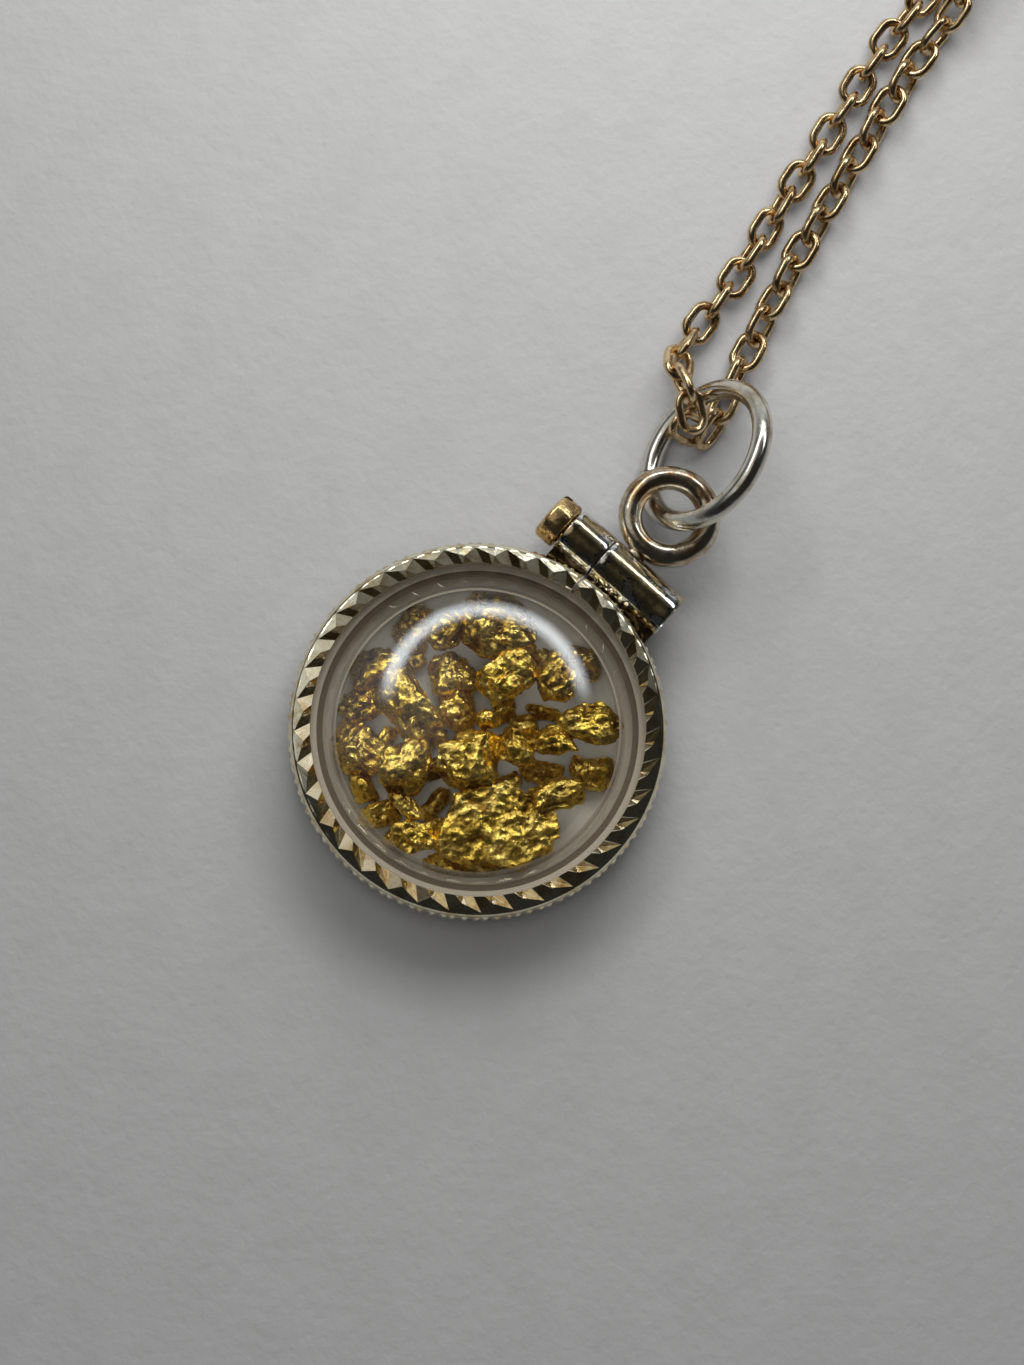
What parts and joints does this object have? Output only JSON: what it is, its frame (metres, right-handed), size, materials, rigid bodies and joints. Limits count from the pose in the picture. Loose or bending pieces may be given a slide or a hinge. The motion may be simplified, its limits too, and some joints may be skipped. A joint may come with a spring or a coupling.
{
  "type": "gold nugget locket pendant",
  "caption": "Screw-top bezel pendant: a split gold ring clamps two clear crystals over loose raw gold nuggets, with bail, jump ring, cable chain and spring ring clasp.",
  "frame": {"origin": "centre of the flat ground on the back crystal, on the surface that the pendant rests on", "axes": "+Z along the ring's axis, out of the front crystal; +Y from the ring's centre towards the bail and the chain; +X along the clamp screw, from its head to its open end"},
  "size_m": [0.028, 0.0869, 0.0071],
  "materials": {
    "bezel_gold": "polished pale gold with bright diamond cuts",
    "crystal": "clear polished glass",
    "polished_knuckle": "mirror polished with light scratches",
    "screw_gold": "worn yellow gold",
    "tarnished_ring": "polished pale metal with warm tarnish",
    "jump_ring_silver": "smooth pale metal, lightly rubbed",
    "raw_gold": "raw, rough native gold",
    "quartz": "dull milky grain",
    "chain_gold": "polished rose and yellow gold",
    "clasp_gold": "polished yellow gold",
    "spring_steel": "plain spring wire"
  },
  "bodies": {
    "pendant": {"bezel_ring": "bezel_gold", "front_crystal": "crystal", "back_crystal": "crystal", "plain_knuckle": "polished_knuckle", "threaded_knuckle": "polished_knuckle", "bail_ring": "tarnished_ring", "gold_flake": "raw_gold", "quartz_grain": "quartz", "small_nuggets": "raw_gold", "chain_centre_link": "chain_gold", "chain_run_left": "chain_gold", "chain_run_right": "chain_gold", "chain_coil": "chain_gold", "chain_tail_left": "chain_gold", "chain_tail_right": "chain_gold", "clasp_body": "clasp_gold", "clasp_spring": "spring_steel", "clasp_end_ring": "clasp_gold", "chain_end_ring": "clasp_gold", "nugget_01": "raw_gold", "nugget_02": "raw_gold", "nugget_03": "raw_gold", "nugget_04": "raw_gold", "nugget_05": "raw_gold", "nugget_06": "raw_gold", "nugget_07": "raw_gold", "nugget_08": "raw_gold", "nugget_09": "raw_gold", "nugget_10": "raw_gold", "nugget_11": "raw_gold", "nugget_12": "raw_gold", "nugget_13": "raw_gold", "nugget_14": "raw_gold", "nugget_15": "raw_gold", "nugget_16": "raw_gold", "nugget_17": "raw_gold", "nugget_18": "raw_gold", "nugget_19": "raw_gold", "nugget_20": "raw_gold", "nugget_21": "raw_gold", "nugget_22": "raw_gold", "nugget_23": "raw_gold", "nugget_24": "raw_gold"},
    "screw": {"clamp_screw": "screw_gold"},
    "jump": {"jump_ring": "jump_ring_silver"},
    "trigger": {"clasp_trigger": "clasp_gold"}
  },
  "joints": [
    {"name": "screw_draw", "type": "slide", "parent": "pendant", "child": "screw", "axis": [-1, 0, 0], "range_m": [0, 0.0056]},
    {"name": "jump_ring_spin", "type": "hinge", "parent": "pendant", "child": "jump", "pos_m": [-0.00075, 0.01908, 0.00354], "axis": [-0.7286, -0.2367, 0.6428], "continuous": true},
    {"name": "clasp_trigger_pull", "type": "hinge", "parent": "pendant", "child": "trigger", "pos_m": [0.0061, 0.0652, 0.00065], "axis": [0, 0, -1], "range_deg": [0, 56], "stiffness_Nm_per_rad": 0.0005, "springref_deg": -28.65, "deforming": ["clasp_spring"]}
  ]
}
